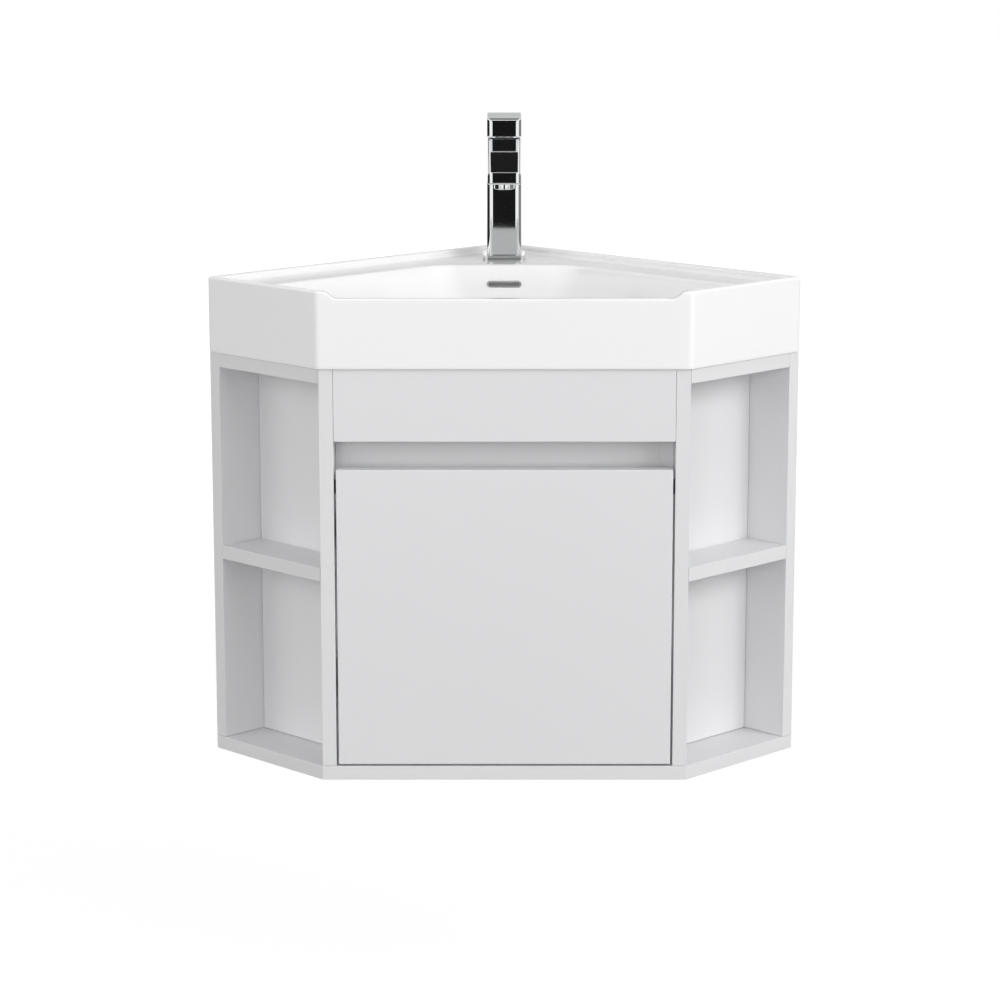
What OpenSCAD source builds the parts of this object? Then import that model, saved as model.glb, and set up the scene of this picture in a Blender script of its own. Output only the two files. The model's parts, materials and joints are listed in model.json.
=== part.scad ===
// Wall-hung corner vanity unit: a white five-sided cabinet with one door and two open bays,
// a ceramic corner basin on top, and a square single-lever mixer tap.
// Origin: the room corner at the height of the cabinet's underside. The two walls run off at
// 45 degrees to the left and right, the front faces -Y and +Z is up. All sizes in millimetres.

/* [Cabinet] */
// Length of the cabinet along each wall, from the room corner
leg = 472; // [450:1:480]
// Length of each slanted side, at right angles to its wall
side = 184; // [176:1:192]
// Thickness of every board
board = 16; // [15:0.5:16]
// Height of the cabinet
cab_h = 465; // [455:1:480]
// Clear depth of the open bays, from their opening to their back board
bay_depth = 57.7; // [50:0.1:64]
// Height of the top face of the bay shelves
shelf_top = 243.2; // [200:0.1:270]
// Height of the hanging rails under the basin
hang_rail_h = 96; // [80:1:110]
// Height of the lower rails
low_rail_h = 60; // [40:1:80]

/* [Front] */
// Height of the fixed fascia under the basin
fascia_h = 80.3; // [76:0.1:90]
// Height of the finger gap between fascia and door
finger_gap = 31.3; // [25:0.1:34]
// Gap left and right of the door
door_side_gap = 2.35; // [2.2:0.05:3]
// Gap under the door
door_low_gap = 2.2; // [1.5:0.1:3]
// Depth of the recess behind the finger gap
recess_depth = 40; // [36:1:46]
// Upper hinge, measured down from the door's top edge
hinge_top_inset = 75; // [60:1:100]
// Lower hinge, measured up from the door's bottom edge
hinge_low_inset = 92; // [60:1:110]

/* [Basin] */
// Length of the basin along each wall
basin_leg = 475; // [472:1:482]
// Length of the basin's slanted sides
basin_side = 186; // [184:1:194]
// Height of the basin's apron
basin_h = 86; // [80:1:92]
// Width of the raised rim along walls and sides
rim_w = 10; // [8:0.5:12]
// How far the ledge and the front lip lie below the rim
rim_step = 8.2; // [6:0.1:10]
// Thickness of the apron
apron_t = 12; // [11:0.5:13]
// Width of the ledge from each wall to the bowl
ledge_w = 59; // [57:1:61]
// Distance from the room corner to the bowl, straight ahead
deck_front = 160; // [156:1:162]
// Width of the overflow slot
overflow_w = 41; // [36:1:42]
// Height of the overflow slot
overflow_h = 8; // [7:0.5:9]

/* [Tap] */
// Width of the square column, spout and lever
tap_w = 42; // [40:0.5:43]
// Distance from the room corner to the centre of the column
tap_back = 91.5; // [90:0.5:93]
// Height of the column above the ledge
column_h = 145.7; // [130:0.1:150]
// Reach of the spout, from the column's front face
spout_reach = 100; // [90:1:104]
// Drop of the spout's top face from the column to the tip
spout_drop = 31.9; // [28:0.1:34]
// Gap under the lever
lever_gap = 1.5; // [1.2:0.1:2]
// Height of the lever block at its front
lever_h = 21; // [18:0.5:24]

/* [Hidden] */
eps = 0.01;
root2 = sqrt(2);
white = [0.87, 0.87, 0.875];
ceramic_white = [0.95, 0.95, 0.95];
steel_grey = [0.66, 0.67, 0.69];
chrome_grey = [0.78, 0.79, 0.81];
rubber_black = [0.06, 0.06, 0.06];
brass_yellow = [0.72, 0.60, 0.32];
plastic_grey = [0.55, 0.56, 0.57];
dowel_tan = [0.78, 0.64, 0.44];

// Cabinet plan. Along each wall u runs out from the room corner and v runs into the room.
half_w = (leg - side) / root2;
front_y = -(leg + side) / root2;
inner_w = half_w - board;
bay_u = leg - bay_depth;
seam_u = leg - side - board * (root2 - 1);
shelf_z = shelf_top - board;
carcass_h = cab_h - board;
fascia_z = cab_h - fascia_h;

// Door
door_top = fascia_z - finger_gap;
door_z = board + door_low_gap;
door_half = inner_w - door_side_gap;
door_x = -door_half;
door_back_y = front_y + board;
upper_hinge_z = door_top - hinge_top_inset;
lower_hinge_z = door_z + hinge_low_inset;
hinge_heights = [lower_hinge_z, upper_hinge_z];

// Hinge, measured from the door's front left edge
cup_x = 22.5;
cup_r = 17.5;
cup_wall = 0.8;
cup_floor_y = 3.4;
cup_lip = 1.2;
cup_flange_r = 20;
cup_wing_x = 2;
cup_wing_w = 15;
cup_wing_half = 28;
pin_x = 14.5;
pin_y = 7;
pin_r = 1.45;
pin_clearance = 0.05;
pin_half = 14.4;
knuckle_r = 2.4;
arm_t = 2.5;
arm_half = 7;
arm_x = 32;
arm_y = 36;
arm_front_bend = 6;
arm_rear_bend = 7;
plate_t = 3;
plate_y = 27;
plate_l = 48;
plate_half = 22;
plate_screw_y = 38;
plate_screw_z = 16;
plate_screw_l = 12;
plate_wing_w = 14;
channel_w = 8;
channel_l = 40;
cup_screw_z = 22.5;
cup_screw_x = 9.5;
cup_screw_l = 11;
cup_screw_head_h = 0.8;
screw_r = 1.9;
screw_head_r = 3.6;
screw_head_h = 1.5;
hole_play = 0.1;
running_play = 0.08;

// Carcass fixings
base_screw_r = 2.5;
base_screw_head_r = 5;
base_screw_head_h = 3;
base_screw_l = 46;
base_screw_front = 24;
base_screw_rear = 200;
base_screw_end = 24;
base_screw_inner = 170;
dowel_r = 4;
dowel_l = 30;
dowel_in_board = 12;
dowel_u = leg - 22;
dowel_front = 34;
wall_hole_r = 3.5;
wall_hole_us = [70, 210];
wall_hole_z = cab_h - 30;

// Recess
recess_front_y = front_y + recess_depth;
recess_low_z = door_top - 30;
recess_high_z = fascia_z + 30;
cleat_d = 32;

// Door buffers
buffer_h = 15.5;
buffer_z = door_top - 30;
buffer_t = 2;
stop_w = 10;
buffer_d = 8;

// Basin
basin_z = cab_h;
rim_z = basin_z + basin_h;
ledge_z = rim_z - rim_step;
basin_half_w = (basin_leg - basin_side) / root2;
basin_front_y = -(basin_leg + basin_side) / root2;
plan_r = 10;
wall_corner_r = 6;
back_corner_r = 26;
lip_half = basin_half_w - 22;
lip_step_w = 16;
deck_t = 12.8;
shell_t = 10;
waste_y = -310;
waste_hole_r = 23;
bowl_low_z = 440;
bowl_corner_r = 34;
// Share of the corner radius at each corner of the bowl, and how far the mouth reaches
bowl_corner_shares = [1.6, 0.5, 0.8, 0.8, 0.5, 1.6];
bowl_reach_x = 270;
bowl_reach_y = 140;
// Each level of the bowl: its height, and its width and length as shares of the mouth's
bowl_levels = [
    [ledge_z + 0.5, 1, 1],
    [505, 0.84, 0.96],
    [470, 0.56, 0.84],
    [448, 0.36, 0.74],
    [bowl_low_z, 0.26, 0.6]
];
overflow_z = 520;
overflow_y = -165;
casing_w = 56;
casing_d = 46;
casing_low_z = bowl_low_z - 22;
fall_pipe_w = 42;
floor_casing_w = 32;
channel_z = bowl_low_z - 17;
channel_h = 9;

// Waste
waste_r = 20.95;
waste_bore_r = 18;
waste_low_z = 345;
waste_flange_r = 31;
waste_flange_t = 3;
waste_groove_z = 398;
waste_groove_h = 3;
waste_boss_r = 33;
waste_boss_z = 418;
nut_t = 10;
gasket_t = 3;
plug_r = 30;
plug_t = 4;
plug_stem_r = 4;
plug_stem_low_z = 392;
plug_z = bowl_low_z + waste_flange_t + 0.3;
guide_z = 400;
guide_w = 6;
guide_h = 8;

// Tap, measured from the centre of the column on the ledge
tap_y = -tap_back;
tap_half = tap_w / 2;
plate_size = 51;
base_plate_t = 6;
base_plate_r = 6;
seal_r = 22;
seal_t = 1.5;
column_top = ledge_z + column_h;
spout_tip = tap_half + spout_reach;
spout_end_z = column_top - spout_drop;
spout_end_h = 14.3;
spout_root_drop = 48.6;
spout_root_r = 4;
shank_r = 16.5;
shank_z = ledge_z - deck_t + 1;
deck_hole_r = 17.5;
cartridge_r = 17.4;
cartridge_z = column_top - 47.5;
waterway_r = 4;
waterway_z = cartridge_z + 12;
ring_t = 5.3;
turret_r = 11.5;
turret_top = column_top + 0.5;
lever_z = column_top + lever_gap;
lever_rear_lift = 8;
lever_back_h = 26;
lever_screw_z = lever_z + 14;
lever_screw_r = 2.5;
pivot_z = column_top - 4.5;
lever_pin_r = 1.5;
lever_pin_l = 21;
stem_half = 4;
aerator_y = tap_y - spout_tip + 15.5;
aerator_r = 12;
aerator_bore_r = 9;
aerator_h = 13.5;
aerator_z = spout_end_z - spout_end_h - 6.3;
stud_r = 4;
stud_y = -9;
stud_low_z = ledge_z - 62;
stud_nut_r = 7.5;
stud_nut_h = 7;
inlet_r = 4.5;
inlet_x = 8.5;
inlet_y = 6;
clamp_r = 24;
clamp_t = 3;

// ---------------------------------------------------------------- helpers

// Left wall frame: x runs along the wall from the room corner, y into the room
module left_wall() {
    rotate([0, 0, 225]) children();
}

module mirror_pair(right) {
    if (right) mirror([1, 0, 0]) children();
    else children();
}

// Outer face of the partition in the wall frame
function partition_v(u) = u - (leg - side);

function unit(v) = v / norm(v);

// Points of a convex outline with rounded corners, each corner an arc of its own radius
function round_outline(pts, radii, steps = 6) = [
    for (i = [0 : len(pts) - 1])
        let (
            before = unit(pts[(i + len(pts) - 1) % len(pts)] - pts[i]),
            after = unit(pts[(i + 1) % len(pts)] - pts[i]),
            half = acos(before * after) / 2,
            centre = pts[i] + unit(before + after) * radii[i] / sin(half),
            turn = 180 - 2 * half,
            start = pts[i] + before * radii[i] / tan(half) - centre,
            way = sign(cross(after, before))
        )
        for (k = [0 : steps])
            let (a = way * turn * k / steps)
            centre + [start.x * cos(a) - start.y * sin(a), start.x * sin(a) + start.y * cos(a)]
];

// Five-sided plan that fits the corner, with its faces moved inwards by inset
function corner_plan(plan_leg, plan_side, inset) =
    let (
        u = plan_leg - inset,
        y = -(plan_leg + plan_side) / root2 + inset,
        x = u * root2 + y
    )
    [[0, -inset * root2], [-(u - inset) / root2, -(u + inset) / root2], [-x, y], [x, y],
        [(u - inset) / root2, -(u + inset) / root2]];

module basin_plan(inset) {
    radii = [max(back_corner_r - inset, 4), wall_corner_r, plan_r, plan_r, wall_corner_r];
    polygon(round_outline(corner_plan(basin_leg, basin_side, inset), radii));
}

// Six-sided mouth of the bowl, measured from the waste hole
bowl_u = basin_leg - apron_t;
bowl_y = basin_front_y + apron_t;
bowl_mouth = let (x0 = deck_front - ledge_w * root2, x2 = bowl_u * root2 + bowl_y)
    [[-x0, -deck_front], [-(bowl_u - ledge_w) / root2, -(bowl_u + ledge_w) / root2], [-x2, bowl_y],
        [x2, bowl_y], [(bowl_u - ledge_w) / root2, -(bowl_u + ledge_w) / root2], [x0, -deck_front]];

// One slice of the bowl: its mouth drawn in towards the waste hole
module bowl_slice(level, grow) {
    wide = level[1] + grow / bowl_reach_x;
    long = level[2] + grow / bowl_reach_y;
    pts = [for (p = bowl_mouth) [p.x * wide, waste_y + (p.y - waste_y) * long]];
    radii = bowl_corner_r * min(wide, 1) * bowl_corner_shares;
    translate([0, 0, level[0] - grow])
        linear_extrude(eps) polygon(round_outline(pts, radii));
}

module bowl_form(grow) {
    hull() {
        for (level = bowl_levels) bowl_slice(level, grow);
    }
}

// Door frame: x to the right from the door's hinged edge, y inwards from the front face
module at_hinge(z) {
    translate([door_x, front_y, z]) children();
}

module z_cylinder(r, z0, z1) {
    translate([0, 0, z0]) cylinder(r = r, h = z1 - z0, $fn = 48);
}

module tube(r_out, r_in, z0, z1) {
    difference() {
        z_cylinder(r_out, z0, z1);
        z_cylinder(r_in, z0 - 1, z1 + 1);
    }
}

module at_tap() {
    translate([0, tap_y, 0]) children();
}

module at_waste() {
    translate([0, waste_y, 0]) children();
}

// ---------------------------------------------------------------- cabinet

// Places of the screws that come up through the bottom panel, in the row's own X and Y
base_screw_spots = [
    for (s = [-1, 1]) each [
        [s * (inner_w + board / 2), front_y + base_screw_front],
        [s * (inner_w + board / 2), front_y + base_screw_rear],
        for (inset = [base_screw_end, base_screw_inner])
            [s * (leg - inset - board / 2) / root2, -(leg - inset + board / 2) / root2]
    ]
];

module base_screw_holes() {
    for (spot = base_screw_spots) translate([spot.x, spot.y, 0]) {
        z_cylinder(base_screw_head_r + hole_play, -1, base_screw_head_h + 0.05);
        z_cylinder(base_screw_r + hole_play, -1, base_screw_l + 1);
    }
}

module base_screws() {
    color(steel_grey)
    for (spot = base_screw_spots) translate([spot.x, spot.y, 0]) {
        z_cylinder(base_screw_head_r, 0, base_screw_head_h);
        z_cylinder(base_screw_r, base_screw_head_h, base_screw_l);
    }
}

module bottom_panel() {
    color(white)
    difference() {
        linear_extrude(board) polygon(corner_plan(leg, side, 0));
        base_screw_holes();
    }
}

// A dowel through the joint at the end panel, along v
module end_dowel(z, play) {
    translate([dowel_u, board - dowel_in_board - play, z])
        rotate([-90, 0, 0]) cylinder(r = dowel_r + play, h = dowel_l + 2 * play, $fn = 32);
}

// A dowel through the joint at the left partition, along x
module partition_dowel(z, play) {
    translate([-half_w + dowel_in_board + play, front_y + dowel_front, z])
        rotate([0, -90, 0]) cylinder(r = dowel_r + play, h = dowel_l + 2 * play, $fn = 32);
}

dowel_heights = [shelf_z + board / 2, cab_h - board / 2];

module left_dowels(play) {
    for (z = dowel_heights) {
        left_wall() end_dowel(z, play);
        partition_dowel(z, play);
    }
}

module bay_dowels() {
    color(dowel_tan)
    for (right = [false, true]) mirror_pair(right) left_dowels(0);
}

module end_panel() {
    difference() {
        left_wall() translate([seam_u, 0, board]) cube([leg - seam_u, board, carcass_h]);
        base_screw_holes();
        left_dowels(hole_play);
    }
}

module partition() {
    back_out = -half_w - board * root2;
    back_in = -inner_w - board * root2;
    difference() {
        translate([0, 0, board]) linear_extrude(carcass_h)
            polygon([[-half_w, front_y], [-inner_w, front_y], [-inner_w, back_in], [-half_w, back_out]]);
        base_screw_holes();
        left_dowels(hole_play);
    }
}

module left_partition() {
    color(white)
    difference() {
        partition();
        plate_screw_holes();
    }
}

// Bay boards share one plan: end panel on one side, partition on the other
module bay_plan(u0, u1) {
    polygon([[u0, board], [u1, board], [u1, partition_v(u1)], [u0, partition_v(u0)]]);
}

module bay_back() {
    left_wall() translate([0, 0, board])
        linear_extrude(carcass_h - board) bay_plan(bay_u - board, bay_u);
}

module top_board() {
    difference() {
        left_wall() translate([0, 0, carcass_h]) linear_extrude(board) bay_plan(bay_u - board, leg);
        left_dowels(hole_play);
    }
}

module shelf() {
    difference() {
        left_wall() translate([0, 0, shelf_z]) linear_extrude(board) bay_plan(bay_u, leg);
        left_dowels(hole_play);
    }
}

module fascia() {
    color(white)
    translate([-inner_w, front_y, fascia_z]) cube([2 * inner_w, board, fascia_h]);
}

module recess_board() {
    color(white)
    translate([-inner_w + board, recess_front_y, recess_low_z])
        cube([2 * (inner_w - board), board, recess_high_z - recess_low_z]);
}

module cleat() {
    translate([-inner_w, recess_front_y, recess_low_z])
        cube([board, cleat_d, recess_high_z - recess_low_z]);
}

// The right rail reaches the room corner and the left one butts against it
module rail(start_u, z, h, holes) {
    difference() {
        left_wall() translate([start_u, 0, z]) cube([seam_u - start_u, board, h]);
        if (holes) left_wall() for (u = wall_hole_us)
            translate([u, -1, wall_hole_z])
                rotate([-90, 0, 0]) cylinder(r = wall_hole_r, h = board + 2, $fn = 32);
    }
}

module left_door_buffer() {
    color(rubber_black)
    translate([-inner_w, door_back_y + 0.3, buffer_z]) cube([buffer_t, buffer_d, buffer_h]);
}

module right_door_stop() {
    color(rubber_black)
    translate([inner_w - stop_w, door_back_y + 0.3, buffer_z]) cube([stop_w, buffer_d, buffer_h]);
}

// ---------------------------------------------------------------- hinges

module plate_screw(play) {
    for (s = [-1, 1]) translate([-door_side_gap, plate_screw_y, s * plate_screw_z])
        rotate([0, 90, 0]) {
            translate([0, 0, -plate_screw_l - play])
                cylinder(r = screw_r + play, h = plate_screw_l + play + plate_t, $fn = 24);
            translate([0, 0, plate_t - screw_head_h - play])
                cylinder(r = screw_head_r + play, h = screw_head_h + play, $fn = 24);
        }
}

module plate_screw_holes() {
    for (z = hinge_heights) at_hinge(z) plate_screw(hole_play);
}

module plate_screws() {
    color(steel_grey)
    for (z = hinge_heights) at_hinge(z) plate_screw(0);
}

module mounting_plate(z) {
    color(steel_grey)
    at_hinge(z) difference() {
        union() {
            translate([-door_side_gap, plate_y, -arm_half - 1])
                cube([plate_t, plate_l, 2 * arm_half + 2]);
            translate([-door_side_gap, plate_screw_y - plate_wing_w / 2, -plate_half])
                cube([plate_t, plate_wing_w, 2 * plate_half]);
        }
        plate_screw(hole_play);
    }
}

// Quarter bend of the arm's strip in plan, about its own centre
module bend(r, from_angle) {
    rotate([0, 0, from_angle]) intersection() {
        difference() {
            circle(r = r + arm_t / 2, $fn = 64);
            circle(r = r - arm_t / 2, $fn = 64);
        }
        square(r + arm_t);
    }
}

// Cranked arm: a knuckle in the cup, a strip round the door's back, a channel on the plate
module hinge_arm(z) {
    color(steel_grey)
    at_hinge(z) difference() {
        union() {
            translate([0, 0, -arm_half]) linear_extrude(2 * arm_half) {
                translate([pin_x, pin_y]) circle(r = knuckle_r, $fn = 32);
                translate([pin_x, pin_y - arm_t / 2]) square([arm_x - arm_front_bend - pin_x, arm_t]);
                translate([arm_x - arm_front_bend, pin_y + arm_front_bend]) bend(arm_front_bend, -90);
                translate([arm_x - arm_t / 2, pin_y + arm_front_bend])
                    square([arm_t, arm_y - arm_rear_bend - pin_y - arm_front_bend]);
                translate([arm_x - arm_rear_bend, arm_y - arm_rear_bend]) bend(arm_rear_bend, 0);
                translate([channel_w, arm_y - arm_t / 2]) square([arm_x - arm_rear_bend - channel_w, arm_t]);
            }
            translate([plate_t - door_side_gap, plate_y + (plate_l - channel_l) / 2, -arm_half])
                cube([channel_w, channel_l, 2 * arm_half]);
        }
        translate([pin_x, pin_y, 0]) z_cylinder(pin_r + pin_clearance, -20, 20);
    }
}

// Cup and its flange, bored into the back of the door
module cup_body() {
    translate([cup_x, board, 0]) rotate([90, 0, 0])
        cylinder(r = cup_r - hole_play, h = board - cup_floor_y - hole_play, $fn = 64);
}

module cup_screw() {
    for (s = [-1, 1]) translate([cup_x + cup_screw_x, board, s * cup_screw_z])
        rotate([90, 0, 0]) translate([0, 0, -cup_lip]) {
            cylinder(r = screw_r, h = cup_screw_l + cup_lip, $fn = 24);
            translate([0, 0, -cup_screw_head_h]) cylinder(r = screw_head_r, h = cup_screw_head_h, $fn = 24);
        }
}

module hinge_cup(z) {
    color(steel_grey)
    at_hinge(z) difference() {
        union() {
            cup_body();
            translate([cup_x, board + cup_lip, 0])
                rotate([90, 0, 0]) cylinder(r = cup_flange_r, h = cup_lip, $fn = 64);
            translate([cup_x + cup_wing_x, board, -cup_wing_half])
                cube([cup_wing_w, cup_lip, 2 * cup_wing_half]);
        }
        translate([cup_x, board + 5, 0]) rotate([90, 0, 0])
            cylinder(r = cup_r - hole_play - cup_wall, h = board + 5 - cup_floor_y - cup_wall, $fn = 64);
        translate([pin_x, pin_y, 0]) z_cylinder(pin_r + pin_clearance, -20, 20);
        for (s = [-1, 1]) translate([cup_x + cup_screw_x, board + 5, s * cup_screw_z])
            rotate([90, 0, 0]) cylinder(r = screw_r + hole_play, h = 10, $fn = 24);
    }
}

module hinge_pins() {
    color(steel_grey)
    for (z = hinge_heights) at_hinge(z) translate([pin_x, pin_y, 0]) z_cylinder(pin_r, -pin_half, pin_half);
}

module cup_screws() {
    color(steel_grey)
    for (z = hinge_heights) at_hinge(z) cup_screw();
}

module door() {
    color(white)
    difference() {
        translate([-door_half, front_y, door_z]) cube([2 * door_half, board, door_top - door_z]);
        for (z = hinge_heights) at_hinge(z) {
            translate([cup_x, board + 1, 0]) rotate([90, 0, 0])
                cylinder(r = cup_r, h = board + 1 - cup_floor_y, $fn = 64);
            for (s = [-1, 1]) translate([cup_x + cup_screw_x, board + 1, s * cup_screw_z])
                rotate([90, 0, 0]) cylinder(r = screw_r + hole_play, h = cup_screw_l + 2, $fn = 24);
        }
    }
}

// ---------------------------------------------------------------- basin

// The front lip steps down from the rim along an S made of two equal arcs
module lip_outline() {
    r = (lip_step_w * lip_step_w + rim_step * rim_step) / (4 * rim_step);
    turn = 2 * atan(rim_step / lip_step_w);
    low = [for (k = [0 : 5]) let (a = turn * k / 5) [lip_half + r * sin(a), ledge_z + r * (1 - cos(a))]];
    high = [for (k = [4 : -1 : 0]) let (a = turn * k / 5)
        [lip_half + lip_step_w - r * sin(a), rim_z - r * (1 - cos(a))]];
    right = concat(low, high, [[lip_half + lip_step_w, rim_z + 5]]);
    left = [for (i = [len(right) - 1 : -1 : 0]) [-right[i].x, right[i].y]];
    polygon(concat(right, left));
}

module overflow_slot(y0, y1, play = 0) {
    translate([0, y0, overflow_z]) rotate([90, 0, 0]) linear_extrude(y0 - y1) {
        straight = overflow_w - overflow_h;
        square([straight, overflow_h + 2 * play], center = true);
        for (s = [-1, 1]) translate([s * straight / 2, 0]) circle(r = overflow_h / 2 + play, $fn = 32);
    }
}

module basin() {
    color(ceramic_white)
    difference() {
        union() {
            difference() {
                translate([0, 0, basin_z]) linear_extrude(basin_h) basin_plan(0);
                translate([0, 0, basin_z - 1])
                    linear_extrude(basin_h - rim_step - deck_t + 1) basin_plan(apron_t);
            }
            intersection() {
                bowl_form(shell_t);
                translate([-400, -600, 400]) cube([800, 600, ledge_z - 400]);
                translate([0, 0, 400]) linear_extrude(200) basin_plan(apron_t / 2);
            }
            // Casing of the overflow channel, down the back of the bowl and under its floor
            translate([-casing_w / 2, overflow_y - 20, casing_low_z])
                cube([casing_w, casing_d, ledge_z - 6 - casing_low_z]);
            translate([-floor_casing_w / 2, waste_y, casing_low_z])
                cube([floor_casing_w, overflow_y - waste_y, bowl_low_z + 2 - casing_low_z]);
            at_waste() z_cylinder(waste_boss_r, waste_boss_z, bowl_low_z + 1);
        }
        // Ledge behind the rim, and the lowered front lip
        translate([0, 0, ledge_z]) linear_extrude(rim_step + 5) basin_plan(rim_w);
        translate([0, basin_front_y + 60, 0]) rotate([90, 0, 0]) linear_extrude(80) lip_outline();
        bowl_form(0);
        // Overflow: slot, fall pipe and channel to the waste
        overflow_slot(overflow_y + 8, overflow_y - 20, hole_play);
        translate([-fall_pipe_w / 2, overflow_y + 6, channel_z])
            cube([fall_pipe_w, 14, overflow_z + 5 - channel_z]);
        translate([-11, waste_y, channel_z]) cube([22, overflow_y + 20 - waste_y, channel_h]);
        at_waste() z_cylinder(waste_hole_r, waste_boss_z - 1, bowl_low_z + 20);
        at_tap() z_cylinder(deck_hole_r, basin_z, rim_z + 1);
    }
}

module overflow_trim() {
    color(chrome_grey)
    difference() {
        overflow_slot(overflow_y + 5, overflow_y + 0.2);
        translate([0, overflow_y + 10, overflow_z]) rotate([90, 0, 0]) linear_extrude(20) {
            square([overflow_w - overflow_h - 1, overflow_h - 3], center = true);
            for (s = [-1, 1]) translate([s * (overflow_w - overflow_h - 1) / 2, 0])
                circle(d = overflow_h - 3, $fn = 32);
        }
    }
}

// ---------------------------------------------------------------- waste

module waste_body() {
    color(chrome_grey)
    at_waste() difference() {
        union() {
            z_cylinder(waste_flange_r, bowl_low_z, bowl_low_z + waste_flange_t);
            z_cylinder(waste_r, waste_low_z, bowl_low_z + 1);
        }
        difference() {
            z_cylinder(waste_bore_r, waste_low_z - 1, bowl_low_z + waste_flange_t + 1);
            // Cross bar that guides the plug's stem
            difference() {
                translate([-waste_bore_r - 1, -guide_w / 2, guide_z])
                    cube([2 * waste_bore_r + 2, guide_w, guide_h]);
                z_cylinder(plug_stem_r + pin_clearance, guide_z - 1, guide_z + guide_h + 1);
            }
        }
        // Run-out groove above the thread for the trap
        difference() {
            z_cylinder(waste_r + 1, waste_groove_z, waste_groove_z + waste_groove_h);
            z_cylinder(waste_r - 1, waste_groove_z - 1, waste_groove_z + waste_groove_h + 1);
        }
        // Windows that let the overflow in
        for (a = [0 : 90 : 270]) rotate([0, 0, a]) translate([10, -7, channel_z]) cube([20, 14, channel_h]);
    }
}

module waste_gasket() {
    color(rubber_black)
    at_waste() tube(waste_flange_r, waste_r + hole_play, waste_boss_z - gasket_t, waste_boss_z);
}

module waste_backnut() {
    color(brass_yellow)
    at_waste() difference() {
        translate([0, 0, waste_boss_z - gasket_t - nut_t])
            cylinder(r = waste_flange_r, h = nut_t, $fn = 6);
        z_cylinder(waste_r + hole_play, waste_boss_z - 20, waste_boss_z + 1);
    }
}

module waste_plug() {
    color(chrome_grey)
    at_waste() {
        z_cylinder(plug_r, plug_z, plug_z + plug_t);
        z_cylinder(plug_stem_r, plug_stem_low_z, plug_z + 0.7);
    }
}

// ---------------------------------------------------------------- tap

module rounded_square(size, r) {
    h = size / 2;
    polygon(round_outline([[-h, -h], [h, -h], [h, h], [-h, h]], [r, r, r, r]));
}

module tap_base_plate() {
    color(chrome_grey)
    at_tap() difference() {
        translate([0, 0, ledge_z]) linear_extrude(base_plate_t) rounded_square(plate_size, base_plate_r);
        z_cylinder(shank_r + hole_play, ledge_z - 1, ledge_z + base_plate_t + 1);
        z_cylinder(seal_r + 0.2, ledge_z - 1, ledge_z + seal_t + 0.1);
    }
}

module tap_base_seal() {
    color(rubber_black)
    at_tap() tube(seal_r, shank_r + hole_play, ledge_z, ledge_z + seal_t);
}

// Side outline of column and spout, y forwards from the column's centre
module tap_profile() {
    polygon([[-tap_half, ledge_z + base_plate_t], [-tap_half, column_top], [tap_half, column_top],
        [spout_tip, spout_end_z], [spout_tip, spout_end_z - spout_end_h],
        [tap_half + spout_root_r, column_top - spout_root_drop],
        [tap_half, column_top - spout_root_drop - spout_root_r],
        [tap_half, ledge_z + base_plate_t]]);
}

module tap_body() {
    color(chrome_grey)
    at_tap() difference() {
        union() {
            rotate([90, 0, -90]) translate([0, 0, -tap_half]) linear_extrude(tap_w) tap_profile();
            z_cylinder(shank_r, shank_z, ledge_z + base_plate_t + 1);
        }
        z_cylinder(cartridge_r + hole_play, cartridge_z, column_top + 1);
        // Waterway from the cartridge to the outlet
        translate([0, 0, waterway_z])
            rotate([92, 0, 0]) cylinder(r = waterway_r, h = spout_tip - 16, $fn = 32);
        translate([0, aerator_y - tap_y, 0])
            z_cylinder(aerator_r + hole_play, aerator_z, aerator_z + aerator_h + 0.5);
        // Inlets for the two supplies and the fixing stud
        for (s = [-1, 1]) translate([s * inlet_x, inlet_y, 0]) z_cylinder(inlet_r, shank_z - 1, shank_z + 14);
        translate([0, stud_y, 0]) z_cylinder(stud_r + hole_play, shank_z - 1, shank_z + 12);
    }
}

module tap_cartridge() {
    color(plastic_grey)
    at_tap() difference() {
        z_cylinder(cartridge_r, cartridge_z, column_top - ring_t);
        z_cylinder(turret_r + running_play, column_top - 13, column_top + 1);
        translate([0, -5, waterway_z]) rotate([90, 0, 0]) cylinder(r = waterway_r, h = 30, $fn = 32);
    }
}

module cartridge_ring() {
    color(chrome_grey)
    at_tap() tube(cartridge_r, turret_r + running_play, column_top - ring_t, column_top - 0.2);
}

module tap_aerator() {
    color(chrome_grey)
    translate([0, aerator_y, 0])
        tube(aerator_r, aerator_bore_r, aerator_z, aerator_z + aerator_h);
}

module tap_stud() {
    color(steel_grey)
    at_tap() translate([0, stud_y, 0]) z_cylinder(stud_r, stud_low_z, shank_z + 11.5);
}

module clamp_disc(z0, z1) {
    difference() {
        z_cylinder(clamp_r, z0, z1);
        translate([-14, -2.5, z0 - 1]) cube([28, 14, z1 - z0 + 2]);
        translate([0, stud_y, 0]) z_cylinder(stud_r + 0.3, z0 - 1, z1 + 1);
    }
}

module tap_clamp_gasket() {
    color(rubber_black)
    at_tap() clamp_disc(ledge_z - deck_t - clamp_t, ledge_z - deck_t);
}

module tap_clamp_plate() {
    color(steel_grey)
    at_tap() clamp_disc(ledge_z - deck_t - 2 * clamp_t, ledge_z - deck_t - clamp_t);
}

module tap_nut() {
    color(brass_yellow)
    at_tap() translate([0, stud_y, ledge_z - deck_t - 2 * clamp_t - stud_nut_h]) difference() {
        cylinder(r = stud_nut_r, h = stud_nut_h, $fn = 6);
        z_cylinder(stud_r + hole_play, -1, stud_nut_h + 1);
    }
}

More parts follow.
